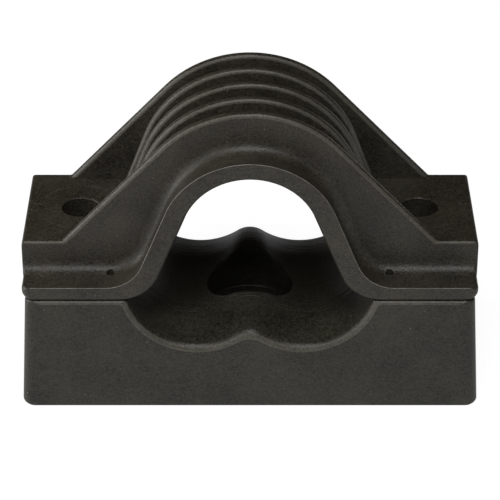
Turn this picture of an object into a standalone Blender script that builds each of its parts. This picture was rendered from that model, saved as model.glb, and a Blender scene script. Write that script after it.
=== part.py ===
"""Two-bolt trefoil cable cleat in moulded glass-filled nylon.

Two mouldings: a cradle base with two flared troughs, and a ribbed arch cover that bolts down on it.
X runs from bolt to bolt, Y along the cables, Z up. The origin is under the middle of the base.
All sizes are in metres.
"""

import math

import bmesh
import bpy

# Fixing pattern
BOLT_SPACING = 0.123
BOLT_BORE = 0.0136
CENTRE_BORE = 0.0136

# Overall
DEPTH = 0.077
BASE_HEIGHT = 0.0445
PARTING_GAP = 0.0003

# How far each end stands beyond the bolt axis
BASE_FOOT_END = 0.0210
BASE_TOP_END = 0.0185
COVER_LIP_END = 0.0193
COVER_BLOCK_END = 0.0197

# Cable seats
SEAT_RADIUS = 0.0225
SEAT_SPACING = 0.041
SEAT_SPACING_AT_MOUTH = 0.0372
SEAT_AXIS_HEIGHT = 0.051
RIDGE_RADIUS = 0.012
RIDGE_RADIUS_AT_MOUTH = 0.005
FLARE_DEPTH = 0.0193
BASE_FLARE = 0.0041
COVER_FLARE = 0.0024

# Pocket for the head of a single centre bolt
POCKET_DIAMETER = 0.0315
POCKET_FLOOR = 0.018

# Coring of the underside
OUTER_WALL = 0.0045
WEB = 0.0030
ROOF = 0.0045
BOLT_BOSS_WALL = 0.0052
CENTRE_BOSS_WALL = 0.0053
CORE_PITCH = 0.0155

# Cover
ARCH_AXIS_HEIGHT = 0.0686
ARCH_WALL = 0.0070
ARCH_OUTER_DROP = 0.0010
LIP_RISE = 0.0014
LIP_WIDTH = 0.0134
FOOT_THICKNESS = 0.0051
FOOT_NOSE_RADIUS = 0.0150
FOOT_ROOT_RADIUS = 0.0140
BLOCK_RISE = 0.0113
FLANK_ANGLE = math.radians(68.0)

# Ribs
RIB_COUNT = 5
RIB_THICKNESS = 0.0036
RIB_DRAFT = 0.0002
OUTER_RIB_RADIUS = 0.0429
OUTER_RIB_TOP = 0.1120
OUTER_RIB_FLANK = math.radians(46.4)
INNER_RIB_RADIUS = 0.041
INNER_RIB_TOP = 0.1119
INNER_RIB_FLANK = math.radians(68.8)

# Edge and corner radii
EDGE_RADIUS = 0.0012
CORNER_RADIUS = 0.0040
COVER_CORNER_RADIUS = 0.0030
RIB_ROOT_RADIUS = 0.0042
LANDING_RADIUS = 0.0020

# Smoothness: sides of a round cut, and steps along each curve or run
BORE_SIDES = 32
POCKET_SIDES = 48
RIDGE_STEPS = 4
SEAT_STEPS = 12
MOUTH_STEPS = 4
EDGE_STEPS = 2
OVER_ARCH_STEPS = 8
UNDER_ARCH_STEPS = 10
ROOT_STEPS = 4
NOSE_STEPS = 5
FOOT_STEPS = 2
LOW_CORNER_STEPS = 3
FILLET_STEPS = 3
ROOF_PROBES = 20
FLAT_WITHIN = math.radians(0.05)
SHARP_FROM = math.radians(30.0)

# Finish: linear colour and roughness
BASE_NYLON = (0.030, 0.031, 0.029)
BASE_ROUGHNESS = 0.55
COVER_NYLON = (0.034, 0.031, 0.029)
COVER_ROUGHNESS = 0.52

# Derived
BOLT_X = BOLT_SPACING / 2
HALF_DEPTH = DEPTH / 2
SEAT_X = SEAT_SPACING / 2
SEAT_X_AT_MOUTH = SEAT_SPACING_AT_MOUTH / 2
COVER_BOTTOM = BASE_HEIGHT + PARTING_GAP
FOOT_TOP = COVER_BOTTOM + FOOT_THICKNESS
BLOCK_TOP = FOOT_TOP + BLOCK_RISE
BLOCK_HALF_DEPTH = HALF_DEPTH - LIP_WIDTH
QUARTER_TURN = math.pi / 2
WELD = 0.000001


def arc(x, z, radius, start, end, steps):
    """Points on a circle about (x, z) in the XZ plane, both ends included."""
    turns = [start + (end - start) * i / steps for i in range(steps + 1)]
    return [(x + radius * math.cos(t), z + radius * math.sin(t)) for t in turns]


def line(start, end, steps):
    """Points on a straight run, without its first point."""
    parts = [i / steps for i in range(1, steps + 1)]
    return [(start[0] + (end[0] - start[0]) * p, start[1] + (end[1] - start[1]) * p) for p in parts]


def mirrored(half):
    """A closed outline from its +X half, whose first and last points lie on X = 0."""
    return half + [(-x, z) for x, z in reversed(half[1:-1])]


def corner(distance, radius):
    """How far a rounded corner has curved in at this distance from its end."""
    into = min(radius, max(0.0, radius - distance))
    return radius - math.sqrt(radius**2 - into**2)


def flare(y):
    """0 in the straight middle of a seat, rising to 1 at its mouth."""
    into = abs(y) - (HALF_DEPTH - FLARE_DEPTH)
    return max(0.0, into / FLARE_DEPTH) ** 2


def loft(name, stations):
    """One closed body through outlines with equal point counts, each at its own Y."""
    bm = bmesh.new()
    rings = [[bm.verts.new((x, y, z)) for x, z in outline] for y, outline in stations]
    count = len(rings[0])
    for near, far in zip(rings, rings[1:]):
        for i in range(count):
            j = (i + 1) % count
            bm.faces.new((near[i], near[j], far[j], far[i]))
    bm.faces.new(rings[0])
    bm.faces.new(rings[-1])
    bmesh.ops.remove_doubles(bm, verts=bm.verts, dist=WELD)
    bmesh.ops.recalc_face_normals(bm, faces=bm.faces)
    bmesh.ops.dissolve_limit(bm, angle_limit=FLAT_WITHIN, verts=bm.verts, edges=bm.edges)
    mesh = bpy.data.meshes.new(name)
    bm.to_mesh(mesh)
    bm.free()
    return mesh


def add_object(name, mesh):
    obj = bpy.data.objects.new(name, mesh)
    bpy.context.scene.collection.objects.link(obj)
    return obj


def nylon(name, colour, roughness):
    """Glass-filled nylon, moulded."""
    material = bpy.data.materials.new(name)
    material.use_nodes = True
    shader = material.node_tree.nodes["Principled BSDF"]
    shader.inputs["Base Color"].default_value = (*colour, 1.0)
    shader.inputs["Roughness"].default_value = roughness
    shader.inputs["Metallic"].default_value = 0.0
    return material


def cutter(name, bm):
    """An object that only shapes others."""
    mesh = bpy.data.meshes.new(name)
    bm.to_mesh(mesh)
    bm.free()
    obj = add_object(name, mesh)
    obj.hide_render = True
    obj.display_type = "WIRE"
    return obj


def round_cutter(name, centres, diameter, low, high, sides):
    """Upright cylinders from low to high at the given (x, y) centres."""
    bm = bmesh.new()
    for x, y in centres:
        made = bmesh.ops.create_cone(
            bm, cap_ends=True, segments=sides, radius1=diameter / 2, radius2=diameter / 2, depth=high - low
        )
        bmesh.ops.translate(bm, verts=made["verts"], vec=(x, y, (low + high) / 2))
    return cutter(name, bm)


def cut(obj, tool):
    modifier = obj.modifiers.new(tool.name, "BOOLEAN")
    modifier.operation = "DIFFERENCE"
    modifier.solver = "EXACT"
    modifier.object = tool


def finish_piece(obj, material):
    obj.data.materials.append(material)
    obj.data.shade_smooth()
    obj.data.set_sharp_from_angle(angle=SHARP_FROM)


# ---------------------------------------------------------------- cradle base


def ridge_centre(seat_x, seat_radius, ridge_radius):
    """Height of the centre of the arc that joins the two seats."""
    reach = seat_radius + ridge_radius
    return SEAT_AXIS_HEIGHT - math.sqrt(reach**2 - seat_x**2)


def base_outline(y):
    """Section through the base: ridge, seat, land, drafted end and flat foot."""
    widen = flare(y)
    rim = corner(HALF_DEPTH - abs(y), EDGE_RADIUS)
    inset = corner(HALF_DEPTH - abs(y), CORNER_RADIUS)
    top = BASE_HEIGHT - rim
    seat_x = SEAT_X + (SEAT_X_AT_MOUTH - SEAT_X) * widen
    seat = SEAT_RADIUS + BASE_FLARE * widen + rim
    ridge = RIDGE_RADIUS + (RIDGE_RADIUS_AT_MOUTH - RIDGE_RADIUS) * widen
    ridge_z = ridge_centre(seat_x, seat, ridge)
    joint = math.atan2(SEAT_AXIS_HEIGHT - ridge_z, seat_x)
    edge_z = top - EDGE_RADIUS
    edge_reach = math.sqrt((seat + EDGE_RADIUS) ** 2 - (SEAT_AXIS_HEIGHT - edge_z) ** 2)
    leave = math.atan2(edge_z - SEAT_AXIS_HEIGHT, edge_reach)
    top_end = BOLT_X + BASE_TOP_END - inset
    foot_end = BOLT_X + BASE_FOOT_END - inset
    half = arc(0.0, ridge_z, ridge, QUARTER_TURN, joint, RIDGE_STEPS)
    half += arc(seat_x, SEAT_AXIS_HEIGHT, seat, joint - math.pi, leave, SEAT_STEPS)[1:]
    inner_x = seat_x + edge_reach
    half += arc(inner_x, edge_z, EDGE_RADIUS, leave + math.pi, QUARTER_TURN, EDGE_STEPS)[1:]
    half += arc(top_end - EDGE_RADIUS, edge_z, EDGE_RADIUS, QUARTER_TURN, 0.0, EDGE_STEPS)
    half += [(foot_end, 0.0), (0.0, 0.0)]
    return mirrored(half)


def lowest_seat(near, far):
    """Lowest point of the cable seats between two X places, at the mouth where they are lowest."""
    seat = SEAT_RADIUS + BASE_FLARE + EDGE_RADIUS
    places = [near + (far - near) * i / ROOF_PROBES for i in range(ROOF_PROBES + 1)]
    heights = []
    for x in places:
        across = abs(x - SEAT_X_AT_MOUTH)
        drop = math.sqrt(seat**2 - across**2) if across < seat else 0.0
        heights.append(min(BASE_HEIGHT, SEAT_AXIS_HEIGHT - drop))
    return min(heights)


def core_cutter():
    """Open cells in the underside, leaving webs, an outer wall and a roof under the seats."""
    inner_x = BOLT_X + BASE_TOP_END - OUTER_WALL
    inner_y = HALF_DEPTH - OUTER_WALL
    columns = round(inner_x / CORE_PITCH)
    rows = max(1, round(inner_y / CORE_PITCH))
    step_x = inner_x / columns
    step_y = inner_y / rows
    centre_boss = POCKET_DIAMETER / 2 + CENTRE_BOSS_WALL
    bm = bmesh.new()
    for i in range(columns):
        near = i * step_x + WEB / 2
        far = (i + 1) * step_x - WEB / 2
        roof = lowest_seat(near, far) - ROOF
        for j in range(rows):
            low = j * step_y + WEB / 2
            high = (j + 1) * step_y - WEB / 2
            if math.hypot(far, high) < centre_boss + WEB:
                continue
            for side_x in (1, -1):
                for side_y in (1, -1):
                    add_cell(bm, side_x, side_y, (near, far), (low, high), roof)
    return cutter("underside_cells", bm)


def add_cell(bm, side_x, side_y, across, along, roof):
    """One rectangular cell, from below the foot up to its roof."""
    made = bmesh.ops.create_cube(bm, size=1.0)["verts"]
    low_z = -WEB
    bmesh.ops.scale(bm, verts=made, vec=(across[1] - across[0], along[1] - along[0], roof - low_z))
    middle = (side_x * sum(across) / 2, side_y * sum(along) / 2, (roof + low_z) / 2)
    bmesh.ops.translate(bm, verts=made, vec=middle)


def both_bolts():
    return [(-BOLT_X, 0.0), (BOLT_X, 0.0)]


def build_base():
    edge = HALF_DEPTH - CORNER_RADIUS
    straight = HALF_DEPTH - FLARE_DEPTH
    parts = [i / MOUTH_STEPS for i in range(MOUTH_STEPS + 1)]
    steps = [straight + (edge - straight) * part for part in parts]
    steps += [edge + CORNER_RADIUS * math.sin(QUARTER_TURN * part) for part in parts[1:]]
    places = [-y for y in reversed(steps)] + steps
    base = add_object("cradle_base", loft("cradle_base", [(y, base_outline(y)) for y in places]))

    cells = core_cutter()
    bolt_boss = BOLT_BORE + 2 * BOLT_BOSS_WALL
    centre_boss = POCKET_DIAMETER + 2 * CENTRE_BOSS_WALL
    above = 2 * BASE_HEIGHT
    below = -2 * WEB
    cut(cells, round_cutter("bolt_bosses", both_bolts(), bolt_boss, below, above, BORE_SIDES))
    cut(cells, round_cutter("centre_boss", [(0.0, 0.0)], centre_boss, below, above, POCKET_SIDES))
    cut(base, cells)
    cut(base, round_cutter("base_bolt_bores", both_bolts(), BOLT_BORE, below, above, BORE_SIDES))
    cut(base, round_cutter("pocket", [(0.0, 0.0)], POCKET_DIAMETER, POCKET_FLOOR, above, POCKET_SIDES))
    cut(base, round_cutter("centre_bore", [(0.0, 0.0)], CENTRE_BORE, below, above, BORE_SIDES))
    finish_piece(base, nylon("base_nylon", BASE_NYLON, BASE_ROUGHNESS))
    return base


# ---------------------------------------------------------------- arch cover


def over_arch(radius, crown, flank, foot_z, root, end_x, rim=0.0):
    """Upper half-outline of the cover from crown to end: arc, straight flank, root fillet, flat, end."""
    axis = crown - radius
    leave = QUARTER_TURN - flank
    tangent = (radius * math.cos(leave), axis + radius * math.sin(leave))
    meet_x = tangent[0] + (tangent[1] - foot_z) / math.tan(flank)
    run = root * math.tan(flank / 2)
    half = arc(0.0, axis, radius, QUARTER_TURN, leave, OVER_ARCH_STEPS)
    half += line(half[-1], (meet_x - run * math.cos(flank), foot_z + run * math.sin(flank)), 1)
    half += arc(meet_x + run, foot_z + root, root, math.pi + leave, 3 * QUARTER_TURN, ROOT_STEPS)[1:]
    half += line(half[-1], (end_x - EDGE_RADIUS, foot_z), FOOT_STEPS)
    half += arc(end_x - EDGE_RADIUS, foot_z - EDGE_RADIUS, EDGE_RADIUS, QUARTER_TURN, 0.0, EDGE_STEPS)[1:]
    low = COVER_CORNER_RADIUS - rim
    half += arc(end_x - low, COVER_BOTTOM + COVER_CORNER_RADIUS, low, 0.0, -QUARTER_TURN, LOW_CORNER_STEPS)
    return half


def under_arch(y):
    """Lower half-outline of the cover from its end to the crown: flat, nose, straight flank, arc."""
    rim = corner(HALF_DEPTH - abs(y), EDGE_RADIUS)
    bottom = COVER_BOTTOM + rim
    radius = SEAT_RADIUS + COVER_FLARE * flare(y) + rim
    leave = QUARTER_TURN - FLANK_ANGLE
    tangent = (radius * math.cos(leave), ARCH_AXIS_HEIGHT + radius * math.sin(leave))
    meet_x = tangent[0] + (tangent[1] - bottom) / math.tan(FLANK_ANGLE)
    run = FOOT_NOSE_RADIUS * math.tan(FLANK_ANGLE / 2)
    nose = arc(
        meet_x + run,
        bottom + FOOT_NOSE_RADIUS,
        FOOT_NOSE_RADIUS,
        -QUARTER_TURN,
        -math.pi + leave,
        NOSE_STEPS,
    )
    return nose + arc(0.0, ARCH_AXIS_HEIGHT, radius, leave, QUARTER_TURN, UNDER_ARCH_STEPS)


def plate_crown():
    return ARCH_AXIS_HEIGHT + SEAT_RADIUS + ARCH_WALL


def plate_radius():
    return SEAT_RADIUS + ARCH_WALL + ARCH_OUTER_DROP


def section(y, upper):
    """A full section of the cover at Y from its upper half-outline."""
    return (y, mirrored(upper + under_arch(y)))


def lip_section(y, raised=0.0):
    """The thin lip outside the foot blocks, which rises a little towards its mouth."""
    inset = corner(HALF_DEPTH - abs(y), COVER_CORNER_RADIUS)
    lift = LIP_RISE * ((abs(y) - BLOCK_HALF_DEPTH) / LIP_WIDTH) ** 2 + raised
    end = COVER_LIP_END + (COVER_BLOCK_END - COVER_LIP_END) * raised / RIB_ROOT_RADIUS
    upper = over_arch(
        plate_radius() + lift,
        plate_crown() + lift,
        FLANK_ANGLE,
        FOOT_TOP + raised,
        FOOT_ROOT_RADIUS - raised,
        BOLT_X + end - inset,
        corner(HALF_DEPTH - abs(y), EDGE_RADIUS),
    )
    return section(y, upper)


def slot_section(y):
    """Between two ribs: the bare arch plate running down on to the foot block."""
    upper = over_arch(
        plate_radius(),
        plate_crown(),
        FLANK_ANGLE,
        BLOCK_TOP,
        LANDING_RADIUS,
        BOLT_X + COVER_BLOCK_END,
    )
    return section(y, upper)


def rib_section(y, outer, drop=0.0, block_drop=0.0):
    """Through a rib; drop lowers its crown where its long edges are rounded."""
    radius = OUTER_RIB_RADIUS if outer else INNER_RIB_RADIUS
    crown = OUTER_RIB_TOP if outer else INNER_RIB_TOP
    flank = OUTER_RIB_FLANK if outer else INNER_RIB_FLANK
    upper = over_arch(
        radius - drop,
        crown - drop,
        flank,
        BLOCK_TOP - block_drop,
        LANDING_RADIUS,
        BOLT_X + COVER_BLOCK_END,
    )
    return section(y, upper)


def lip_sections():
    """From the mouth inwards, ending with the fillet up to the face of the block."""
    inner = BLOCK_HALF_DEPTH + RIB_DRAFT + RIB_ROOT_RADIUS
    turn = HALF_DEPTH - COVER_CORNER_RADIUS
    turns = [QUARTER_TURN * i / FILLET_STEPS for i in range(1, FILLET_STEPS + 1)]
    rounded = [turn + COVER_CORNER_RADIUS * math.sin(angle) for angle in reversed(turns)]
    made = [lip_section(y) for y in rounded + [turn, (turn + inner) / 2, inner]]
    for angle in turns:
        y = inner - RIB_ROOT_RADIUS * math.sin(angle)
        made.append(lip_section(y, RIB_ROOT_RADIUS * (1 - math.cos(angle))))
    return made


def rib_sections(centre, outer_face=0):
    """Across one rib from +Y to -Y. An outer rib is flush with the block on its outer_face side."""
    half = RIB_THICKNESS / 2
    outer = outer_face != 0
    made = []
    for side in (1, -1):
        face = centre + side * half
        flush = outer_face == side
        rounded = rib_section(face, outer, EDGE_RADIUS, EDGE_RADIUS if flush else 0.0)
        full = rib_section(face - side * EDGE_RADIUS, outer)
        pair = [rounded, full]
        if not flush:
            pair.insert(0, slot_section(face + side * RIB_DRAFT))
        made += pair if side == 1 else pair[::-1]
    return made


def build_cover():
    front = lip_sections()
    back = [(-y, outline) for y, outline in front]
    last = BLOCK_HALF_DEPTH - RIB_THICKNESS / 2
    stations = list(front)
    for i in range(RIB_COUNT):
        centre = last - 2 * last * i / (RIB_COUNT - 1)
        outer_face = {0: 1, RIB_COUNT - 1: -1}.get(i, 0)
        stations += rib_sections(centre, outer_face)
    stations += back[::-1]
    cover = add_object("arch_cover", loft("arch_cover", stations))
    above = 3 * BASE_HEIGHT
    cut(cover, round_cutter("cover_bolt_bores", both_bolts(), BOLT_BORE, 0.0, above, BORE_SIDES))
    finish_piece(cover, nylon("cover_nylon", COVER_NYLON, COVER_ROUGHNESS))
    return cover


for old in list(bpy.data.objects):
    bpy.data.objects.remove(old, do_unlink=True)

build_base()
build_cover()
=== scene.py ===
"""Looks of a two-bolt trefoil cable cleat: fine meshes and moulded nylon around the fixed frame.

X runs from bolt to bolt, Y along the cables, Z up, all in metres, with the origin under the base.
"""

import math

import bmesh
import bpy
from bpy.props import FloatProperty, FloatVectorProperty, IntProperty, PointerProperty
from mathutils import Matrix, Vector


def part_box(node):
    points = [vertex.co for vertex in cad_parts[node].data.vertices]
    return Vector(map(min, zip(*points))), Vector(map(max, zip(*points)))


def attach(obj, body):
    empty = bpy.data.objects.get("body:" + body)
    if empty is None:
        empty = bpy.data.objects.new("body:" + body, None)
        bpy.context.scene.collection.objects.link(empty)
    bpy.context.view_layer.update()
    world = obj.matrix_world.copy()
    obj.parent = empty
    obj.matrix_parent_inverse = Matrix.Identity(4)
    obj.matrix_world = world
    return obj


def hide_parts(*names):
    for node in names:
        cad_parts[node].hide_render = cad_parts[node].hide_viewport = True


bl_info = {
    "name": "Trefoil Cable Cleat",
    "version": (1, 0, 0),
    "blender": (4, 5, 0),
    "location": "View3D > Sidebar > Cleat",
    "description": "Builds the cradle base and the ribbed arch cover of a cable cleat",
    "category": "Add Mesh",
}

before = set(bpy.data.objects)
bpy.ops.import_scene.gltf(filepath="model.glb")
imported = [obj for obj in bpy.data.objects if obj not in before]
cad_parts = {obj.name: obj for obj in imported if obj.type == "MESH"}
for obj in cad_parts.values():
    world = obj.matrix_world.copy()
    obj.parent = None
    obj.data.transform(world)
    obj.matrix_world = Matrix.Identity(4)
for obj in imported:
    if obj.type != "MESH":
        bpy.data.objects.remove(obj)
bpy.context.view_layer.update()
BASE_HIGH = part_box("cradle_base")[1]
COVER_LOW, COVER_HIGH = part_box("arch_cover")

MM = 0.001
QUARTER = math.pi / 2
WELD = 0.001 * MM
NYLON_IOR = 1.53
BORE_SIDES = 64


def hex_colour(code):
    """An sRGB hex colour as linear red, green and blue."""
    parts = [int(code[i : i + 2], 16) / 255 for i in (0, 2, 4)]
    return [p / 12.92 if p <= 0.04045 else ((p + 0.055) / 1.055) ** 2.4 for p in parts]


def length(name, default, description):
    return FloatProperty(
        name=name, description=description, default=default, unit="LENGTH", precision=5
    )


def angle(name, degrees, description):
    default = math.radians(degrees)
    return FloatProperty(name=name, description=description, default=default, subtype="ANGLE")


def power(name, default, description):
    return FloatProperty(name=name, description=description, default=default, unit="POWER")


def colour(name, code, description):
    default = hex_colour(code)
    return FloatVectorProperty(
        name=name, description=description, default=default, subtype="COLOR", min=0.0, max=1.0
    )


# ---------------------------------------------------------------- settings


class CleatFixingSettings(bpy.types.PropertyGroup):
    """What both halves share."""

    bolt_x: length("Bolt from middle", 61.5 * MM, "From the middle to each bolt's axis")
    bore: length("Bolt bore", 13.6 * MM, "Diameter of the bolt bores")
    bore_rim: length("Bore rim", 0.5 * MM, "Radius of the rounded rim of a bore")
    seat_radius: length("Seat radius", 22.5 * MM, "Radius of the straight middle of a cable seat")
    washer: length("Washer ring", 31.0 * MM, "Diameter of the ring rubbed by a washer")


class CleatBaseSettings(bpy.types.PropertyGroup):
    """The cradle base."""

    half_depth: length("Half depth", BASE_HIGH.y, "From the middle to the mouth face")
    height: length("Height", BASE_HIGH.z, "From the foot to the land")
    foot_end: length("Foot end", BASE_HIGH.x, "Half length at the foot")
    top_end: length("Top end", 80.0 * MM, "Half length at the land, after the moulding draft")
    seat_x: length("Seat from middle", 20.5 * MM, "From the middle to the axis of a cable seat")
    seat_x_mouth: length("Seat from middle at mouth", 18.8 * MM, "The same, at a mouth")
    seat_axis: length("Seat axis height", 51.0 * MM, "Height of the seat axes over the foot")
    ridge: length("Ridge radius", 12.0 * MM, "Radius of the ridge in the middle")
    ridge_mouth: length("Ridge radius at mouth", 7.5 * MM, "Radius of the ridge at a mouth")
    flare_depth: length("Flare depth", 19.3 * MM, "How far each bell mouth reaches in")
    flare: length("Flare", 3.1 * MM, "How much a seat widens before its rounded rim")
    flare_power: FloatProperty(name="Flare power", description="1 is a cone, 2 a bell", default=1.6)
    seat_rim: length("Seat rim", 2.2 * MM, "Radius of the rounded rim of a mouth")
    # Width of the pale mouth rim: partly rubbing, partly painted highlight.
    wear_and_highlight: length("Worn edge", 0.7 * MM, "How far in from a mouth the rim is rubbed pale")
    land_rim: length("Land rim", 1.3 * MM, "Radius of the land's edges")
    corner: length("Corner", 4.0 * MM, "Radius of the upright corners")
    foot_rim: length("Foot rim", 1.6 * MM, "Radius of the foot's lower end edges")
    pocket: length("Pocket", 31.5 * MM, "Diameter of the pocket in the ridge")
    pocket_floor: length("Pocket floor", 18.0 * MM, "Height of the pocket's floor over the foot")
    pocket_rim: length("Pocket rim", 0.8 * MM, "Radius of the pocket's rim")
    wall: length("Outer wall", 4.5 * MM, "Wall outside the cells of the underside")
    web: length("Web", 3.0 * MM, "Thickness of the webs between cells")
    roof: length("Roof", 4.5 * MM, "Material left over a cell")
    cell_pitch: length("Cell pitch", 15.5 * MM, "Spacing that the cells come nearest to")
    cell_round: length("Cell rounding", 1.0 * MM, "Radius inside the cells")
    bolt_boss: length("Bolt boss wall", 5.2 * MM, "Wall round each bolt bore")
    centre_boss: length("Centre boss wall", 5.3 * MM, "Wall round the pocket, under the seats")
    front_line: length("Front tool line", 0.13 * MM, "Height of fine tool lines at the front mouth")
    back_line: length("Back tool line", 0.06 * MM, "Height of fine tool lines at the back mouth")


class CleatCoverSettings(bpy.types.PropertyGroup):
    """The arch cover."""

    half_depth: length("Half depth", COVER_HIGH.y, "From the middle to the mouth face")
    bottom: length("Underside", COVER_LOW.z, "Height of the cover's underside")
    top: length("Top", COVER_HIGH.z, "Height of the outer ribs' crowns")
    block_end: length("Block end", COVER_HIGH.x, "Half length over the foot blocks")
    lip_end: length("Lip end", 80.8 * MM, "Half length over the lips")
    lip: length("Lip width", 13.4 * MM, "How far a lip stands out from the foot blocks")
    lip_thick: length("Lip thickness", 5.1 * MM, "Thickness of a lip over the land")
    block_rise: length("Block rise", 11.3 * MM, "Height of a foot block over the lips")
    arch_axis: length("Arch axis", 68.6 * MM, "Height of the arch's axis")
    arch_wall: length("Arch wall", 7.0 * MM, "Thickness of the arch plate between ribs")
    lip_rise: length("Lip rise", 1.4 * MM, "How much the arch rises towards its mouth")
    flare: length("Flare", 2.3 * MM, "How much the arch widens inside before its rim")
    rim: length("Inner rim", 1.3 * MM, "Radius of the arch's inner rim")
    arch_drop: length("Arch drop", 1.0 * MM, "Extra radius of the plate's outer arc over its wall")
    flank: angle("Flank", 68.0, "Slope of the arch's flanks")
    outer_flank: angle("Outer rib flank", 46.4, "Slope of the outer ribs")
    inner_flank: angle("Inner rib flank", 68.8, "Slope of the inner ribs")
    nose: length("Nose", 15.0 * MM, "Radius from the arch's flank to the underside")
    root: length("Root", 14.0 * MM, "Radius from the arch's flank to the lip")
    face_root: length("Face root", 4.2 * MM, "Fillet at the foot of the block's face")
    corner: length("Corner", 3.0 * MM, "Radius of the lip's corners")
    end_rim: length("End rim", 1.2 * MM, "Radius of the upper edge at each end")
    landing: length("Landing", 2.0 * MM, "Fillet where a rib or the plate meets the block's top")
    draft: length("Draft", 0.2 * MM, "How far a rib's face leans from its foot to its crown")
    block_rim: length("Block rim", 0.9 * MM, "Radius of the block's upper edges")
    rib: length("Rib", 3.6 * MM, "Thickness of a rib")
    rib_rim: length("Rib rim", 1.5 * MM, "Radius of a rib's long edges")
    # Width of the pale rib edge: partly rubbing, partly painted highlight.
    wear_and_highlight: length("Worn edge", 0.6 * MM, "How far in from its face a rib's edge is rubbed pale")
    rib_root: length("Rib root", 1.0 * MM, "Fillet at the foot of a rib")
    outer_radius: length("Outer rib radius", 42.9 * MM, "Crown radius of the two outer ribs")
    inner_radius: length("Inner rib radius", 41.0 * MM, "Crown radius of the inner ribs")
    inner_top: length("Inner rib top", 111.9 * MM, "Height of the inner ribs' crowns")
    ribs: IntProperty(name="Ribs", description="Number of ribs across the arch", default=5, min=2)
    flash: length("Flash", 0.16 * MM, "Height of the thin flash left on the mouth's upper edge")
    block_mark_x: length("Block mark from middle", 78.0 * MM, "From the middle to the block's mark")
    block_mark: length("Block mark", 5.4 * MM, "Diameter of a block's ejector mark")
    lip_mark_x: length("Lip mark from middle", 76.2 * MM, "From the middle to a lip's ejector mark")
    lip_mark_y: length("Lip mark along", 32.5 * MM, "Along the cables to a lip's ejector mark")
    lip_mark: length("Lip mark", 7.0 * MM, "Diameter of a lip's ejector mark")
    pin_x: length("Pin mark from middle", 49.7 * MM, "From the middle to a core pin's mark")
    pin_y: length("Pin mark along", 28.2 * MM, "Along the cables to a core pin's mark")
    pin: length("Pin mark", 2.9 * MM, "Diameter of a core pin's mark")


class CleatFinishSettings(bpy.types.PropertyGroup):
    """The nylon's colours."""

    base: colour("Base nylon", "191813", "Cradle base, a slightly green charcoal")
    # The bloom colours also make the darker end of the pale edge materials, which are partly
    # rubbing and partly painted highlight.
    base_light: colour("Base bloom", "413F35", "Lighter bloom and rubbed places of the base")
    cover: colour("Cover nylon", "201D18", "Arch cover, a slightly warm charcoal")
    cover_light: colour("Cover bloom", "474339", "Lighter bloom and rubbed places of the cover")
    # Pale edge colour: partly rubbed by handling, partly a painted highlight for the light that
    # rounded rims and rib edges catch.
    rubbed_and_highlit: colour("Rubbed edges", "605D54", "Edges rubbed pale by handling")
    speck: colour("Glass fibre", "B9B7AE", "Fibre ends and dust that show on the skin")
    flash: colour("Flash", "8F8C84", "Thin flash along the mouth's upper edge")


class CleatStudioSettings(bpy.types.PropertyGroup):
    """Floor, lamps and camera."""

    floor: colour("Floor", "F7F7F7", "Pale studio floor")
    glow: FloatProperty(name="Floor glow", description="Light that the floor gives", default=0.50)
    floor_size: length("Floor size", 12.0, "Side of the square floor")
    surround: FloatProperty(name="Surround", description="Strength of the dim room", default=0.011)
    left: power("Left lamp", 8.2, "Power of the lamp on the left")
    front_left: power("Front left lamp", 2.2, "Power of the lamp at the front left")
    front_top: power("Front top lamp", 6.2, "Power of the lamp above the front")
    front_right: power("Front right lamp", 0.5, "Power of the lamp at the front right")
    top: power("Top lamp", 0.1, "Power of the lamp overhead")
    back: power("Back card", 0.11, "Power of the dim card behind")
    warm: colour("Back card colour", "FFD9AC", "Warm colour of the card behind")
    distance: length("Camera distance", 856.0 * MM, "From the aim point to the camera")
    pitch: angle("Camera pitch", 30.6, "Downward tilt of the camera")
    aim: length("Aim height", 43.0 * MM, "Height of the aim point")
    lens: FloatProperty(name="Lens", description="Focal length", default=167.4, unit="CAMERA")


# ---------------------------------------------------------------- outlines


def arc(x, z, radius, start, end, steps):
    """Points on a circle about (x, z) in the XZ plane, both ends included."""
    turns = [start + (end - start) * i / steps for i in range(steps + 1)]
    return [(x + radius * math.cos(t), z + radius * math.sin(t)) for t in turns]


def run_to(outline, end, steps):
    """Adds a straight run to an outline."""
    x, z = outline[-1]
    for i in range(1, steps + 1):
        part = i / steps
        outline.append((x + (end[0] - x) * part, z + (end[1] - z) * part))


def mirrored(half):
    """A closed outline from its +X half, whose first and last points lie on X = 0."""
    return half + [(-x, z) for x, z in reversed(half[1:-1])]


def corner(distance, radius):
    """How far a rounded edge has curved in at this distance from its end."""
    into = min(radius, max(0.0, radius - distance))
    return radius - math.sqrt(radius**2 - into**2)


def eased(count):
    """Places from 0 to 1 that crowd towards 1, as a rounded edge needs."""
    return [math.sin(QUARTER * i / count) for i in range(count + 1)]


def towards(low, high, reach):
    """A point moved up to reach from its low place to its high one."""
    across = math.dist(low, high)
    part = min(1.0, reach / across) if across > WELD else 0.0
    return (low[0] + (high[0] - low[0]) * part, low[1] + (high[1] - low[1]) * part)


# ---------------------------------------------------------------- mesh tools


def both_sides(reach, count):
    """The first edges of a mirrored outline of this many points, on both of its halves."""
    return [*range(reach), *range(count - reach, count)]


def loft(name, stations, slots):
    """A closed body through outlines of one point count. Slots maps (step, edge) to a material."""
    bm = bmesh.new()
    rings = [[bm.verts.new((x, y, z)) for x, z in outline] for y, outline in stations]
    count = len(rings[0])
    for step, (near, far) in enumerate(zip(rings, rings[1:])):
        for i in range(count):
            j = (i + 1) % count
            face = bm.faces.new((near[i], near[j], far[j], far[i]))
            face.material_index = slots.get((step, i), 0)
    bm.faces.new(rings[0])
    bm.faces.new(rings[-1])
    bmesh.ops.remove_doubles(bm, verts=bm.verts, dist=WELD)
    bmesh.ops.recalc_face_normals(bm, faces=bm.faces)
    return add_object(name, bm)


def add_object(name, bm):
    mesh = bpy.data.meshes.new(name)
    bm.to_mesh(mesh)
    bm.free()
    obj = bpy.data.objects.new(name, mesh)
    bpy.context.scene.collection.objects.link(obj)
    return obj


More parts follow.
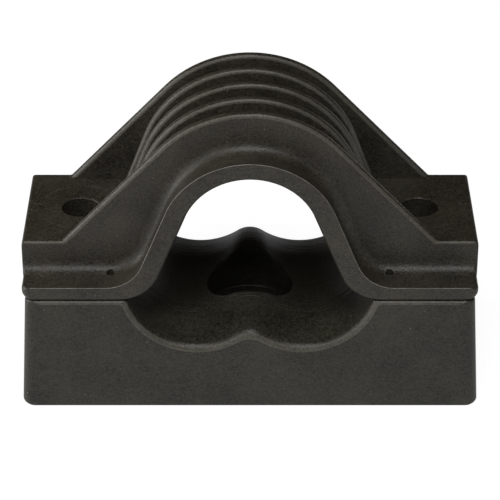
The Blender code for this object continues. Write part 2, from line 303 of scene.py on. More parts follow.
def lathe(bm, profile, x, y, sides):
    """A closed upright turned body. The profile is (radius, z) from its top to its bottom."""
    rings = []
    for radius, z in profile:
        ring = []
        for i in range(sides):
            turn = 2 * math.pi * i / sides
            ring.append(bm.verts.new((x + radius * math.cos(turn), y + radius * math.sin(turn), z)))
        rings.append(ring)
    for upper, lower in zip(rings, rings[1:]):
        for i in range(sides):
            j = (i + 1) % sides
            bm.faces.new((upper[i], lower[i], lower[j], upper[j]))
    bm.faces.new(rings[0])
    bm.faces.new(rings[-1][::-1])


def spin_loop(bm, profile, x, y, sides):
    """A closed ring round an upright axis. The profile gives its (radius, z) loop at each turn."""
    loops = []
    for i in range(sides):
        turn = 2 * math.pi * i / sides
        points = [(x + r * math.cos(turn), y + r * math.sin(turn), z) for r, z in profile(turn)]
        loops.append([bm.verts.new(point) for point in points])
    for near, far in zip(loops, loops[1:] + loops[:1]):
        for i in range(len(near)):
            j = (i + 1) % len(near)
            bm.faces.new((near[i], near[j], far[j], far[i]))


def bore_profile(radius, rim, top, bottom):
    """A bore with both rims rounded, run a little past both faces."""
    past = 2 * rim
    steps = 5
    turns = [QUARTER * i / steps for i in range(steps + 1)]
    upper = [(radius + rim - rim * math.sin(t), top - rim + rim * math.cos(t)) for t in turns]
    lower = [(r, top + bottom - z) for r, z in reversed(upper)]
    return [(radius + rim, top + past)] + upper + lower + [(radius + rim, bottom - past)]


def carve(obj, tools):
    """Cuts each tool mesh out of obj and removes the tool."""
    for bm in tools:
        bmesh.ops.recalc_face_normals(bm, faces=bm.faces)
        tool = add_object("tool", bm)
        modifier = obj.modifiers.new("cut", "BOOLEAN")
        modifier.operation = "DIFFERENCE"
        modifier.solver = "EXACT"
        modifier.object = tool
        apply_modifiers(obj)
        bpy.data.meshes.remove(tool.data)


def apply_modifiers(obj):
    """Makes the evaluated mesh the object's own."""
    graph = bpy.context.evaluated_depsgraph_get()
    graph.update()
    made = bpy.data.meshes.new_from_object(obj.evaluated_get(graph))
    old = obj.data
    obj.modifiers.clear()
    obj.data = made
    bpy.data.meshes.remove(old)


def smooth_skin(obj):
    """Shades large faces flat and the rounded edges between them smoothly."""
    sharpest_smooth = math.radians(40.0)
    obj.data.shade_smooth()
    obj.data.set_sharp_from_angle(angle=sharpest_smooth)
    weighted = obj.modifiers.new("weighted_normals", "WEIGHTED_NORMAL")
    weighted.mode = "FACE_AREA_WITH_ANGLE"
    weighted.keep_sharp = True
    weighted.weight = 60


def put_on(obj, node, body):
    """Smooths a finished piece and gives it its place in the frame."""
    smooth_skin(obj)
    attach(obj, body)
    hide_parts(node)


# ---------------------------------------------------------------- materials


def add_node(tree, kind, settings=None, links=None):
    """Adds a node. Settings name its properties or input sockets; links feed its sockets.

    A link comes from a socket, or from a node, which then gives its first output.
    """
    node = tree.nodes.new(kind)
    for key, value in (settings or {}).items():
        if isinstance(key, str) and hasattr(node, key):
            setattr(node, key, value)
        else:
            node.inputs[key].default_value = value
    for key, source in (links or {}).items():
        tree.links.new(getattr(source, "outputs", (source,))[0], node.inputs[key])
    return node


def opaque(rgb):
    return (*rgb, 1.0)


def start_material(name):
    """A new material with its node tree, its shader and the piece's own coordinates."""
    material = bpy.data.materials.new(name)
    material.use_nodes = True
    tree = material.node_tree
    place = add_node(tree, "ShaderNodeTexCoord").outputs["Object"]
    return material, tree, tree.nodes["Principled BSDF"], place


def scuff_marks(tree, place, turn, apart):
    """Sparse hairline scuffs a few millimetres long, as a mask from 0 to 1."""
    turned = add_node(
        tree, "ShaderNodeMapping", {"Rotation": turn, "Scale": (1.0, 0.02, 1.0)}, {"Vector": place}
    )
    cells = add_node(tree, "ShaderNodeTexVoronoi", {"Scale": 1 / apart}, {"Vector": turned})
    thin = add_node(
        tree,
        "ShaderNodeMapRange",
        {1: 0.006, 2: 0.018, 3: 1.0, 4: 0.0},
        {0: cells.outputs["Distance"]},
    )
    shares = add_node(tree, "ShaderNodeSeparateColor", links={0: cells.outputs["Color"]})
    few = add_node(tree, "ShaderNodeMapRange", {1: 0.80, 2: 0.90}, {0: shares})
    return add_node(tree, "ShaderNodeMath", {"operation": "MULTIPLY"}, {0: thin, 1: few})


def moulded_nylon(name, dark, light, speck, washers=()):
    """Injection-moulded nylon with about a third of short glass fibre.

    Fibre ends near the skin give a fine mottled grain and a low, uneven sheen, with a few pale
    specks and hairline scuffs from handling. Washers leave a faint rubbed ring round a bore.
    """
    material, tree, shader, place = start_material(name)

    # Flow bloom, centimetres wide, and fibre mottle, drawn out a little where the melt ran level.
    bloom = add_node(
        tree, "ShaderNodeTexNoise", {"Scale": 1 / (16 * MM), "Detail": 4.0}, {"Vector": place}
    )
    flow = add_node(tree, "ShaderNodeMapping", {"Scale": (1.0, 1.0, 1.8)}, {"Vector": place})
    fibre = add_node(
        tree,
        "ShaderNodeTexNoise",
        {"Scale": 1 / (1.4 * MM), "Detail": 4.0, "Roughness": 0.8, "Distortion": 0.4},
        {"Vector": flow},
    )
    grain = add_node(
        tree, "ShaderNodeTexNoise", {"Scale": 1 / (0.6 * MM), "Detail": 3.0}, {"Vector": place}
    )
    soft = add_node(tree, "ShaderNodeMapRange", {1: 0.35, 2: 0.70, 3: 0.0, 4: 0.40}, {0: bloom})
    mottle = add_node(tree, "ShaderNodeMapRange", {1: 0.36, 2: 0.66, 3: 0.0, 4: 0.75}, {0: fibre})
    fine = add_node(tree, "ShaderNodeMapRange", {1: 0.34, 2: 0.66, 3: -0.32, 4: 0.36}, {0: grain})
    even = add_node(tree, "ShaderNodeMath", {"operation": "ADD"}, {0: soft, 1: mottle})
    share = add_node(tree, "ShaderNodeMath", {"operation": "ADD"}, {0: even, 1: fine})
    skin = add_node(
        tree, "ShaderNodeMix", {"data_type": "RGBA", 6: opaque(dark), 7: opaque(light)}, {0: share}
    )

    # Fibre ends and dust, drawn at 0.3 mm, coarser than real, so that they show at all.
    cells = add_node(tree, "ShaderNodeTexVoronoi", {"Scale": 1 / (2.6 * MM)}, {"Vector": place})
    dots = add_node(
        tree,
        "ShaderNodeMapRange",
        {1: 0.05, 2: 0.09, 3: 1.0, 4: 0.0},
        {0: cells.outputs["Distance"]},
    )
    shares = add_node(tree, "ShaderNodeSeparateColor", links={0: cells.outputs["Color"]})
    few = add_node(tree, "ShaderNodeMapRange", {1: 0.70, 2: 0.95, 3: 0.0, 4: 0.45}, {0: shares})
    specks = add_node(tree, "ShaderNodeMath", {"operation": "MULTIPLY"}, {0: dots, 1: few})
    one_way = scuff_marks(tree, place, (0.5, 0.2, 0.9), 8 * MM)
    other_way = scuff_marks(tree, place, (1.1, 0.7, -0.6), 10 * MM)
    scuffs = add_node(tree, "ShaderNodeMath", {"operation": "ADD"}, {0: one_way, 1: other_way})
    faint = add_node(tree, "ShaderNodeMath", {"operation": "MULTIPLY", 1: 0.32}, {0: scuffs})
    marks = add_node(tree, "ShaderNodeMath", {"operation": "MAXIMUM"}, {0: specks, 1: faint})
    patches = add_node(
        tree, "ShaderNodeTexNoise", {"Scale": 1 / (7 * MM), "Detail": 3.0}, {"Vector": place}
    )
    for x, y, radius in washers:
        marks = washer_ring(tree, place, marks, patches, (-x, -y, 0.0), radius)
    # Specks and scuffs over the skin. On the pale edge materials the skin mixed here is partly
    # painted highlight.
    wear_and_highlight = add_node(
        tree,
        "ShaderNodeMix",
        {"data_type": "RGBA", 7: opaque(speck)},
        {0: marks, 6: skin.outputs[2]},
    )
    tree.links.new(wear_and_highlight.outputs[2], shader.inputs["Base Color"])

    sheen = add_node(tree, "ShaderNodeMapRange", {1: 0.30, 2: 0.70, 3: 0.30, 4: 0.46}, {0: fibre})
    tree.links.new(sheen.outputs[0], shader.inputs["Roughness"])
    shader.inputs["IOR"].default_value = NYLON_IOR
    shader.inputs["Specular IOR Level"].default_value = 0.42
    shader.inputs["Metallic"].default_value = 0.0
    height = add_node(tree, "ShaderNodeMath", {"operation": "ADD"}, {0: grain, 1: fibre})
    bump = add_node(
        tree, "ShaderNodeBump", {"Strength": 0.8, "Distance": 0.14 * MM}, {"Height": height}
    )
    tree.links.new(bump.outputs[0], shader.inputs["Normal"])
    return material


def washer_ring(tree, place, marks, patches, shift, radius):
    """Adds the pale, broken ring that a washer's edge rubs on the skin round a bore."""
    moved = add_node(tree, "ShaderNodeVectorMath", {"operation": "ADD", 1: shift}, {0: place})
    level = add_node(
        tree, "ShaderNodeVectorMath", {"operation": "MULTIPLY", 1: (1.0, 1.0, 0.0)}, {0: moved}
    )
    reach = add_node(tree, "ShaderNodeVectorMath", {"operation": "LENGTH"}, {0: level})
    off = add_node(
        tree, "ShaderNodeMath", {"operation": "SUBTRACT", 1: radius}, {0: reach.outputs["Value"]}
    )
    span = add_node(tree, "ShaderNodeMath", {"operation": "ABSOLUTE"}, {0: off})
    rubbed_and_highlit = add_node(tree, "ShaderNodeMapRange", {1: 0.0, 2: 0.9 * MM, 3: 0.07, 4: 0.0}, {0: span})
    kept = add_node(tree, "ShaderNodeMapRange", {1: 0.48, 2: 0.62}, {0: patches})
    broken = add_node(tree, "ShaderNodeMath", {"operation": "MULTIPLY"}, {0: rubbed_and_highlit, 1: kept})
    return add_node(tree, "ShaderNodeMath", {"operation": "MAXIMUM"}, {0: marks, 1: broken})


def feathered_flash(name, dark, pale):
    """The nylon squeezed paper-thin along the mould's parting edge.

    It is thin enough to look paler than the wall, ragged, and broken up along its length.
    """
    material, tree, shader, place = start_material(name)
    ragged = add_node(
        tree, "ShaderNodeTexNoise", {"Scale": 1 / (1.5 * MM), "Detail": 3.0}, {"Vector": place}
    )
    share = add_node(tree, "ShaderNodeMapRange", {1: 0.38, 2: 0.62, 3: 0.45, 4: 1.0}, {0: ragged})
    skin = add_node(
        tree, "ShaderNodeMix", {"data_type": "RGBA", 6: opaque(dark), 7: opaque(pale)}, {0: share}
    )
    tree.links.new(skin.outputs[2], shader.inputs["Base Color"])
    shader.inputs["Roughness"].default_value = 0.5
    shader.inputs["IOR"].default_value = NYLON_IOR
    bump = add_node(
        tree, "ShaderNodeBump", {"Strength": 0.3, "Distance": 0.03 * MM}, {"Height": ragged}
    )
    tree.links.new(bump.outputs[0], shader.inputs["Normal"])
    return material


# ---------------------------------------------------------------- cradle base

# Edges of the base's section from its middle outwards, and how many of them the pale rim takes:
# rubbing and painted highlight.
RIDGE_EDGES = 10
SEAT_EDGES = 36
LAND_RIM_EDGES = 5
LAND_FLAT_EDGES = 8
RUBBED_AND_HIGHLIT_EDGES = RIDGE_EDGES + SEAT_EDGES + LAND_RIM_EDGES + LAND_FLAT_EDGES
# Where the tool left fine lines across the seats, in millimetres along the cables.
FRONT_LINES = (-19.4, -17.7, -13.9)
BACK_LINES = (13.0, 16.2, 18.4, 20.6, 23.1, 26.0, 29.2)
# Not a multiple of four, so that no corner of the pocket falls on the ridge line.
POCKET_SIDES = 122


def seat_shape(y, raised=0.0):
    """Seat place and radius, ridge radius and ridge arc height at a place along the cables."""
    base = bpy.context.scene.cleat_base
    fixing = bpy.context.scene.cleat_fixing
    into = max(0.0, abs(y) - (base.half_depth - base.flare_depth)) / base.flare_depth
    rim = corner(base.half_depth - abs(y), base.seat_rim)
    widen = into**base.flare_power
    seat = fixing.seat_radius + base.flare * widen + rim - raised
    ridge = base.ridge + (base.ridge_mouth - base.ridge) * widen
    seat_x = base.seat_x + (base.seat_x_mouth - base.seat_x) * widen
    ridge_z = base.seat_axis - math.sqrt((seat + ridge) ** 2 - seat_x**2)
    return seat_x, seat, ridge, ridge_z


def seat_height(x, y):
    """Height of the seats' surface, or of the land outside them."""
    base = bpy.context.scene.cleat_base
    seat_x, seat, ridge, ridge_z = seat_shape(y)
    if abs(x) < ridge * seat_x / (seat + ridge):
        return ridge_z + math.sqrt(ridge**2 - x**2)
    inside = max(0.0, seat**2 - (abs(x) - seat_x) ** 2)
    return min(base.height, base.seat_axis - math.sqrt(inside))


def base_outline(y, raised=0.0):
    """Section through the base: ridge, seat, land, drafted end and flat foot."""
    base = bpy.context.scene.cleat_base
    edge = base.half_depth - abs(y)
    seat_x, seat, ridge, ridge_z = seat_shape(y, raised)
    top = base.height - corner(edge, base.land_rim)
    foot = corner(edge, base.foot_rim / 3)
    inset = corner(edge, base.corner)
    joint = math.atan2(base.seat_axis - ridge_z, seat_x)
    edge_z = top - base.land_rim
    reach = math.sqrt((seat + base.land_rim) ** 2 - (base.seat_axis - edge_z) ** 2)
    leave = math.atan2(edge_z - base.seat_axis, reach)
    end = base.top_end - inset - base.land_rim
    rim = base.foot_rim
    half = arc(0.0, ridge_z, ridge, QUARTER, joint, RIDGE_EDGES)
    half += arc(seat_x, base.seat_axis, seat, joint - math.pi, leave, SEAT_EDGES)[1:]
    half += arc(seat_x + reach, edge_z, base.land_rim, leave + math.pi, QUARTER, LAND_RIM_EDGES)[1:]
    run_to(half, (end, top), LAND_FLAT_EDGES)
    half += arc(end, edge_z, base.land_rim, QUARTER, 0.0, LAND_RIM_EDGES)[1:]
    foot_x = base.foot_end - inset - rim
    run_to(half, (foot_x + rim, foot + rim), steps=10)
    half += arc(foot_x, foot + rim, rim, 0.0, -QUARTER, steps=4)[1:]
    half.append((0.0, foot))
    return mirrored(half)


def base_stations():
    """Sections from the front mouth to the back one, with the tool's fine lines in the seats."""
    base = bpy.context.scene.cleat_base
    straight = base.half_depth - base.flare_depth
    turn = base.half_depth - base.corner
    steps = 12
    rounded = [turn + base.corner * part for part in eased(steps)]
    flared = [straight + (turn - straight) * i / steps for i in range(steps)]
    places = {round(y, 7): 0.0 for y in flared + rounded}
    places.update({-y: 0.0 for y in list(places)})
    width = 0.20 * MM
    lines = {y: base.front_line for y in FRONT_LINES}
    lines.update({y: base.back_line for y in BACK_LINES})
    for y, height in lines.items():
        for shift, raised in ((-width, 0.0), (0.0, height), (width, 0.0)):
            places[round(y * MM + shift, 7)] = raised
    return [(y, base_outline(y, raised)) for y, raised in sorted(places.items())]


def mouth_rims_rubbed_and_highlit(stations):
    """Slot 1 for the mouths' rims: rubbed pale by cables and hands, and a painted highlight."""
    base = bpy.context.scene.cleat_base
    slots = {}
    for step, (near, far) in enumerate(zip(stations, stations[1:])):
        if abs(near[0] + far[0]) / 2 > base.half_depth - base.wear_and_highlight:
            slots.update({(step, i): 1 for i in both_sides(RUBBED_AND_HIGHLIT_EDGES, len(near[1]))})
    return slots


def pocket_rim_tool():
    """Rounds the rim where the pocket breaks through the curved seats."""
    base = bpy.context.scene.cleat_base
    radius = base.pocket / 2
    rim = base.pocket_rim
    clear = 1.3 * rim
    steps = 6

    def profile(turn):
        x, y = math.cos(turn), math.sin(turn)
        wall_z = seat_height(radius * x, radius * y)
        out_z = seat_height((radius + rim) * x, (radius + rim) * y)
        points = [(radius - 2 * rim, wall_z - rim)]
        for step in range(steps + 1):
            t = step / steps
            z = (1 - t) ** 2 * (wall_z - rim) + 2 * t * (1 - t) * wall_z + t**2 * out_z
            points.append((radius + rim * t**2, z))
        return points + [(radius + clear, out_z + rim), (radius - 2 * rim, wall_z + 2 * rim)]

    bm = bmesh.new()
    spin_loop(bm, profile, 0.0, 0.0, POCKET_SIDES)
    return bm


def pocket_tool():
    """The round pocket with a small fillet round its floor."""
    base = bpy.context.scene.cleat_base
    radius = base.pocket / 2
    fillet = 0.7 * MM
    profile = [(radius, 2 * base.height)]
    profile += arc(radius - fillet, base.pocket_floor + fillet, fillet, 0.0, -QUARTER, steps=5)
    bm = bmesh.new()
    lathe(bm, profile, 0.0, 0.0, POCKET_SIDES)
    return bm


def underside_cells():
    """Open cells of the cored underside, clear of the bolt bosses and the centre boss."""
    base = bpy.context.scene.cleat_base
    fixing = bpy.context.scene.cleat_fixing
    inner_x = base.top_end - base.wall
    inner_y = base.half_depth - base.wall
    columns = round(inner_x / base.cell_pitch)
    rows = round(inner_y / base.cell_pitch)
    bolt_boss = fixing.bore / 2 + base.bolt_boss
    centre_boss = base.pocket / 2 + base.centre_boss
    probes = 20
    bm = bmesh.new()
    for i in range(columns):
        near = i * inner_x / columns + base.web / 2
        far = (i + 1) * inner_x / columns - base.web / 2
        across = [near + (far - near) * k / probes for k in range(probes + 1)]
        roof = min(seat_height(x, base.half_depth) for x in across) - base.roof
        for j in range(rows):
            low = j * inner_y / rows + base.web / 2
            high = (j + 1) * inner_y / rows - base.web / 2
            if math.hypot(far, high) < centre_boss + base.web:
                continue
            for side_x in (1, -1):
                for side_y in (1, -1):
                    span_x = (side_x * near, side_x * far)
                    span_y = (side_y * low, side_y * high)
                    add_cell(bm, span_x, span_y, roof, base.cell_round)
    cells = add_object("cells", bm)
    bosses = bmesh.new()
    span = (2 * base.height, -base.height)
    for x in (-fixing.bolt_x, fixing.bolt_x):
        lathe(bosses, [(bolt_boss, z) for z in span], x, 0.0, BORE_SIDES)
    lathe(bosses, [(centre_boss, z) for z in span], 0.0, 0.0, sides=96)
    carve(cells, [bosses])
    bm = bmesh.new()
    bm.from_mesh(cells.data)
    bpy.data.meshes.remove(cells.data)
    return bm


def add_cell(bm, span_x, span_y, roof, rounding):
    """One cell with rounded upright corners and a rounded roof."""
    low = -roof
    made = bmesh.ops.create_cube(bm, size=1.0)["verts"]
    size = (abs(span_x[1] - span_x[0]), abs(span_y[1] - span_y[0]), roof - low)
    bmesh.ops.scale(bm, verts=made, vec=size)
    bmesh.ops.translate(bm, verts=made, vec=(sum(span_x) / 2, sum(span_y) / 2, (roof + low) / 2))
    edges = {edge for vert in made for edge in vert.link_edges}
    kept = [edge for edge in edges if max(v.co.z for v in edge.verts) > 0.0]
    bmesh.ops.bevel(bm, geom=kept, offset=rounding, segments=3, affect="EDGES", profile=0.5)


def bore_tools(places, top, bottom):
    """Bolt bores through a piece, at these places along X."""
    fixing = bpy.context.scene.cleat_fixing
    bm = bmesh.new()
    for x in places:
        lathe(bm, bore_profile(fixing.bore / 2, fixing.bore_rim, top, bottom), x, 0.0, BORE_SIDES)
    return bm


class CLEAT_OT_base(bpy.types.Operator):
    """Lofts the cradle base and cuts its pocket, bores and cored underside"""

    bl_idname = "cleat.base"
    bl_label = "Cradle base"

    def execute(self, context):
        base = context.scene.cleat_base
        fixing = context.scene.cleat_fixing
        finish = context.scene.cleat_finish
        stations = base_stations()
        piece = loft("cradle_base_moulding", stations, mouth_rims_rubbed_and_highlit(stations))
        bolts = (-fixing.bolt_x, fixing.bolt_x)
        carve(
            piece,
            [
                pocket_tool(),
                pocket_rim_tool(),
                bore_tools(bolts, base.height, 0.0),
                bore_tools((0.0,), base.pocket_floor, 0.0),
                underside_cells(),
            ],
        )
        # The second material is the pale mouth rim: rubbing and a painted highlight on its rounded
        # edge.
        for name, dark, light in (
            ("moulded_glass_filled_nylon_base", finish.base, finish.base_light),
            ("rubbed_and_highlit_nylon_base", finish.base_light, finish.rubbed_and_highlit),
        ):
            piece.data.materials.append(moulded_nylon(name, dark, light, finish.speck))
        put_on(piece, "cradle_base", "base")
        return {"FINISHED"}


# ---------------------------------------------------------------- arch cover

# Edges of the cover's upper section from its crown outwards, and how far a rib and a block reach.
CROWN_EDGES = 28
FLANK_EDGES = 8
ROOT_EDGES = 8
BLOCK_TOP_EDGES = 10
RIB_EDGES = CROWN_EDGES + FLANK_EDGES
BLOCK_EDGES = RIB_EDGES + ROOT_EDGES + BLOCK_TOP_EDGES
# The flash: how far back from the mouth each section lies, and its share of the full height.
FLASH_BEAD = ((0.12 * MM, 1.0), (0.22 * MM, 0.8), (0.40 * MM, 0.0))


def over_arch(radius, crown, flank, foot_z, root, end_x, low):
    """Upper half-outline from crown to end: arc, flank, root fillet, flat, end, low corner."""
    cover = bpy.context.scene.cleat_cover
    axis = crown - radius
    leave = QUARTER - flank
    tangent = (radius * math.cos(leave), axis + radius * math.sin(leave))
    meet_x = tangent[0] + (tangent[1] - foot_z) / math.tan(flank)
    run = root * math.tan(flank / 2)
    edge = cover.end_rim
    half = arc(0.0, axis, radius, QUARTER, leave, CROWN_EDGES)
    run_to(half, (meet_x - run * math.cos(flank), foot_z + run * math.sin(flank)), FLANK_EDGES)
    half += arc(meet_x + run, foot_z + root, root, math.pi + leave, 3 * QUARTER, ROOT_EDGES)[1:]
    run_to(half, (end_x - edge, foot_z), BLOCK_TOP_EDGES)
    half += arc(end_x - edge, foot_z - edge, edge, QUARTER, 0.0, steps=4)[1:]
    half += arc(end_x - low, cover.bottom + cover.corner, low, 0.0, -QUARTER, steps=5)
    return half


def under_arch(y):
    """Lower half-outline from end to crown: flat, nose, straight flank, arc."""
    cover = bpy.context.scene.cleat_cover
    fixing = bpy.context.scene.cleat_fixing
    straight = cover.half_depth - bpy.context.scene.cleat_base.flare_depth
    into = max(0.0, abs(y) - straight) / (cover.half_depth - straight)
    rim = corner(cover.half_depth - abs(y), cover.rim)
    bottom = cover.bottom + rim
    radius = fixing.seat_radius + cover.flare * into**2 + rim
    leave = QUARTER - cover.flank
    tangent = (radius * math.cos(leave), cover.arch_axis + radius * math.sin(leave))
    meet_x = tangent[0] + (tangent[1] - bottom) / math.tan(cover.flank)
    run = cover.nose * math.tan(cover.flank / 2)
    half = arc(meet_x + run, bottom + cover.nose, cover.nose, -QUARTER, leave - math.pi, steps=12)
    run_to(half, tangent, steps=6)
    return half + arc(0.0, cover.arch_axis, radius, leave, QUARTER, CROWN_EDGES)[1:]


def lip_outline(y, raised=0.0, flash=0.0):
    """Over the lip. Raised climbs the block face's fillet; flash stands up on the mouth's edge."""
    cover = bpy.context.scene.cleat_cover
    plate = bpy.context.scene.cleat_fixing.seat_radius + cover.arch_wall
    edge = cover.half_depth - abs(y)
    lift = cover.lip_rise * ((cover.lip - edge) / cover.lip) ** 2 + raised + flash
    part = raised / cover.face_root
    end = cover.lip_end + (cover.block_end - cover.lip_end) * part - corner(edge, cover.corner)
    return over_arch(
        plate + cover.arch_drop + lift,
        cover.arch_axis + plate + lift,
        cover.flank,
        cover.bottom + cover.lip_thick + raised + flash,
        cover.root - raised,
        end,
        cover.corner - corner(edge, cover.rim),
    )


def slot_outline():
    """Between two ribs: the bare arch plate running down on to the foot block."""
    cover = bpy.context.scene.cleat_cover
    plate = bpy.context.scene.cleat_fixing.seat_radius + cover.arch_wall
    return over_arch(
        plate + cover.arch_drop,
        cover.arch_axis + plate,
        cover.flank,
        cover.bottom + cover.lip_thick + cover.block_rise,
        cover.landing,
        cover.block_end,
        cover.corner,
    )


def rib_outline(outer, depth, flush=False):
    """Through a rib at this depth from its face, where its long edges are rounded."""
    cover = bpy.context.scene.cleat_cover
    drop = corner(depth, cover.rib_rim)
    block_drop = corner(depth, cover.block_rim) if flush else 0.0
    return over_arch(
        (cover.outer_radius if outer else cover.inner_radius) - drop,
        (cover.top if outer else cover.inner_top) - drop,
        cover.outer_flank if outer else cover.inner_flank,
        cover.bottom + cover.lip_thick + cover.block_rise - block_drop,
        cover.landing,
        cover.block_end,
        cover.corner,
    )


def lip_stations():
    """From the mouth inwards: flash, rounded corner, lip, and the fillet up the block's face."""
    cover = bpy.context.scene.cleat_cover
    block = cover.half_depth - cover.lip
    inner = block + cover.draft + cover.face_root
    turn = cover.half_depth - cover.corner
    stations = [(cover.half_depth, lip_outline(cover.half_depth))]
    for back, part in FLASH_BEAD:
        y = cover.half_depth - back
        stations.append((y, lip_outline(y, flash=cover.flash * part)))
    for part in reversed(eased(count=8)[:-1]):
        y = turn + cover.corner * part
        if y < stations[-1][0] - 0.1 * MM:
            stations.append((y, lip_outline(y)))
    lip_steps = 5
    for i in range(1, lip_steps + 1):
        y = turn + (inner - turn) * i / lip_steps
        stations.append((y, lip_outline(y)))
    fillet_steps = 8
    for i in range(1, fillet_steps + 1):
        swing = QUARTER * i / fillet_steps
        y = inner - cover.face_root * math.sin(swing)
        stations.append((y, lip_outline(y, cover.face_root * (1 - math.cos(swing)))))
    return stations


def rib_stations(centre, outer_face):
    """Across one rib from +Y to -Y. An outer rib is flush with the block on its outer_face side."""
    cover = bpy.context.scene.cleat_cover
    outer = outer_face != 0
    slot = slot_outline()
    root_steps, rim_steps = 4, 5
    stations = []
    for side in (1, -1):
        face = centre + side * cover.rib / 2
        flush = outer_face == side
        run = []
        if not flush:
            wall = rib_outline(outer, 0.0)
            for i in range(root_steps + 1):
                turn = QUARTER * i / root_steps
                away = cover.rib_root * (1 - math.sin(turn))
                climb = cover.rib_root * (1 - math.cos(turn))
                raised = [towards(a, b, climb) for a, b in zip(slot, wall)]
                run.append((face + side * (cover.draft + away), raised))
        for i in range(rim_steps + 1):
            depth = cover.rib_rim * (1 - math.cos(QUARTER * i / rim_steps))
            run.append((face - side * depth, rib_outline(outer, depth, flush)))
        stations += run if side == 1 else run[::-1]
    return stations


def rib_places():
    """Each rib's place along the cables, and which of its faces is flush with the block."""
    cover = bpy.context.scene.cleat_cover
    last = cover.half_depth - cover.lip - cover.rib / 2
    places = [last - 2 * last * i / (cover.ribs - 1) for i in range(cover.ribs)]
    return list(zip(places, [1] + [0] * (cover.ribs - 2) + [-1]))


def rib_edges_rubbed_and_highlit(stations):
    """Slot 2, pale rubbing and painted highlight, on rib edges and the block edges beyond."""
    cover = bpy.context.scene.cleat_cover
    slots = {}
    for step, (near, far) in enumerate(zip(stations, stations[1:])):
        middle = (near[0] + far[0]) / 2
        for centre, outer_face in rib_places():
            if 0.0 < cover.rib / 2 - abs(middle - centre) < cover.wear_and_highlight:
                flush = outer_face * (middle - centre) > 0.0
                reach = BLOCK_EDGES if flush else RIB_EDGES
                slots.update({(step, i): 2 for i in both_sides(reach, len(near[1]))})
    return slots


def cover_body():
    """Lofts the cover from lip to lip over the ribs. Slot 1 takes the flash on both mouths."""
    lip = lip_stations()
    middle = []
    for centre, outer_face in rib_places():
        middle += rib_stations(centre, outer_face)
    halves = lip + middle + [(-y, upper) for y, upper in reversed(lip)]
    stations = [(y, mirrored(upper + under_arch(y))) for y, upper in halves]
    slots = rib_edges_rubbed_and_highlit(stations)
    for step in both_sides(len(FLASH_BEAD), len(stations) - 1):
        slots.update({(step, i): 1 for i in both_sides(BLOCK_EDGES + 1, len(stations[0][1]))})
    return loft("arch_cover_moulding", stations, slots)


def witness_rings():
    """Shallow grooves that the mould's ejectors leave on the blocks and the lips."""
    cover = bpy.context.scene.cleat_cover
    lip_top = cover.bottom + cover.lip_thick
    block_top = lip_top + cover.block_rise
    marks = [(cover.block_mark_x, 0.0, block_top, cover.block_mark / 2)]
    for y in (-cover.lip_mark_y, cover.lip_mark_y):
        marks.append((cover.lip_mark_x, y, lip_top, cover.lip_mark / 2))
    width = 0.20 * MM
    deep = 0.15 * MM
    bm = bmesh.new()
    for x, y, top, radius in marks:
        loop = [(radius - width, top + deep), (radius + width, top + deep), (radius, top - deep)]
        for side in (1, -1):
            spin_loop(bm, lambda turn, loop=loop: loop, side * x, y, sides=48)
    return bm


def pin_holes():
    """Small blind holes that the mould's core pins leave in the lips."""
    cover = bpy.context.scene.cleat_cover
    lip_top = cover.bottom + cover.lip_thick
    radius = cover.pin / 2
    tip_radius, tip_depth = 0.4 * radius, 1.3 * radius
    profile = [(radius, lip_top + 2 * radius), (radius, lip_top - radius)]
    profile.append((tip_radius, lip_top - tip_depth))
    bm = bmesh.new()
    for x in (-cover.pin_x, cover.pin_x):
        for y in (-cover.pin_y, cover.pin_y):
            lathe(bm, profile, x, y, sides=32)
    return bm


class CLEAT_OT_cover(bpy.types.Operator):
    """Lofts the arch cover over its ribs and cuts its bolt bores and mould marks"""

    bl_idname = "cleat.cover"
    bl_label = "Arch cover"

    def execute(self, context):
        cover = context.scene.cleat_cover
        fixing = context.scene.cleat_fixing
        finish = context.scene.cleat_finish
        block_top = cover.bottom + cover.lip_thick + cover.block_rise
        bolts = (-fixing.bolt_x, fixing.bolt_x)
        piece = cover_body()
        nylon = moulded_nylon(
            "moulded_glass_filled_nylon_cover",
            finish.cover,
            finish.cover_light,
            finish.speck,
            [(x, 0.0, fixing.washer / 2) for x in bolts],
        )
        flash = feathered_flash("feathered_nylon_flash", finish.cover_light, finish.flash)
        # The third material is the pale rib edge: rubbing and a painted highlight on the rounded
        # edges.
        rubbed_and_highlit = moulded_nylon(
            "rubbed_and_highlit_nylon_cover", finish.cover_light, finish.rubbed_and_highlit, finish.speck
        )
        for material in (nylon, flash, rubbed_and_highlit):
            piece.data.materials.append(material)
        carve(piece, [bore_tools(bolts, block_top, cover.bottom), witness_rings(), pin_holes()])
        put_on(piece, "arch_cover", "cover")
        return {"FINISHED"}


# ---------------------------------------------------------------- stage


def add_lamp(name, place, aim, size, power, tint=(1.0, 1.0, 1.0)):
    """A soft lamp of this width and height, turned towards its aim."""
    lamp = bpy.data.lights.new(name, "AREA")
    lamp.shape = "RECTANGLE"
    lamp.size, lamp.size_y = size
    lamp.energy = power
    lamp.color = tint
    obj = bpy.data.objects.new(name, lamp)
    obj.location = place
    obj.rotation_euler = (Vector(aim) - Vector(place)).to_track_quat("-Z", "Y").to_euler()
    bpy.context.scene.collection.objects.link(obj)


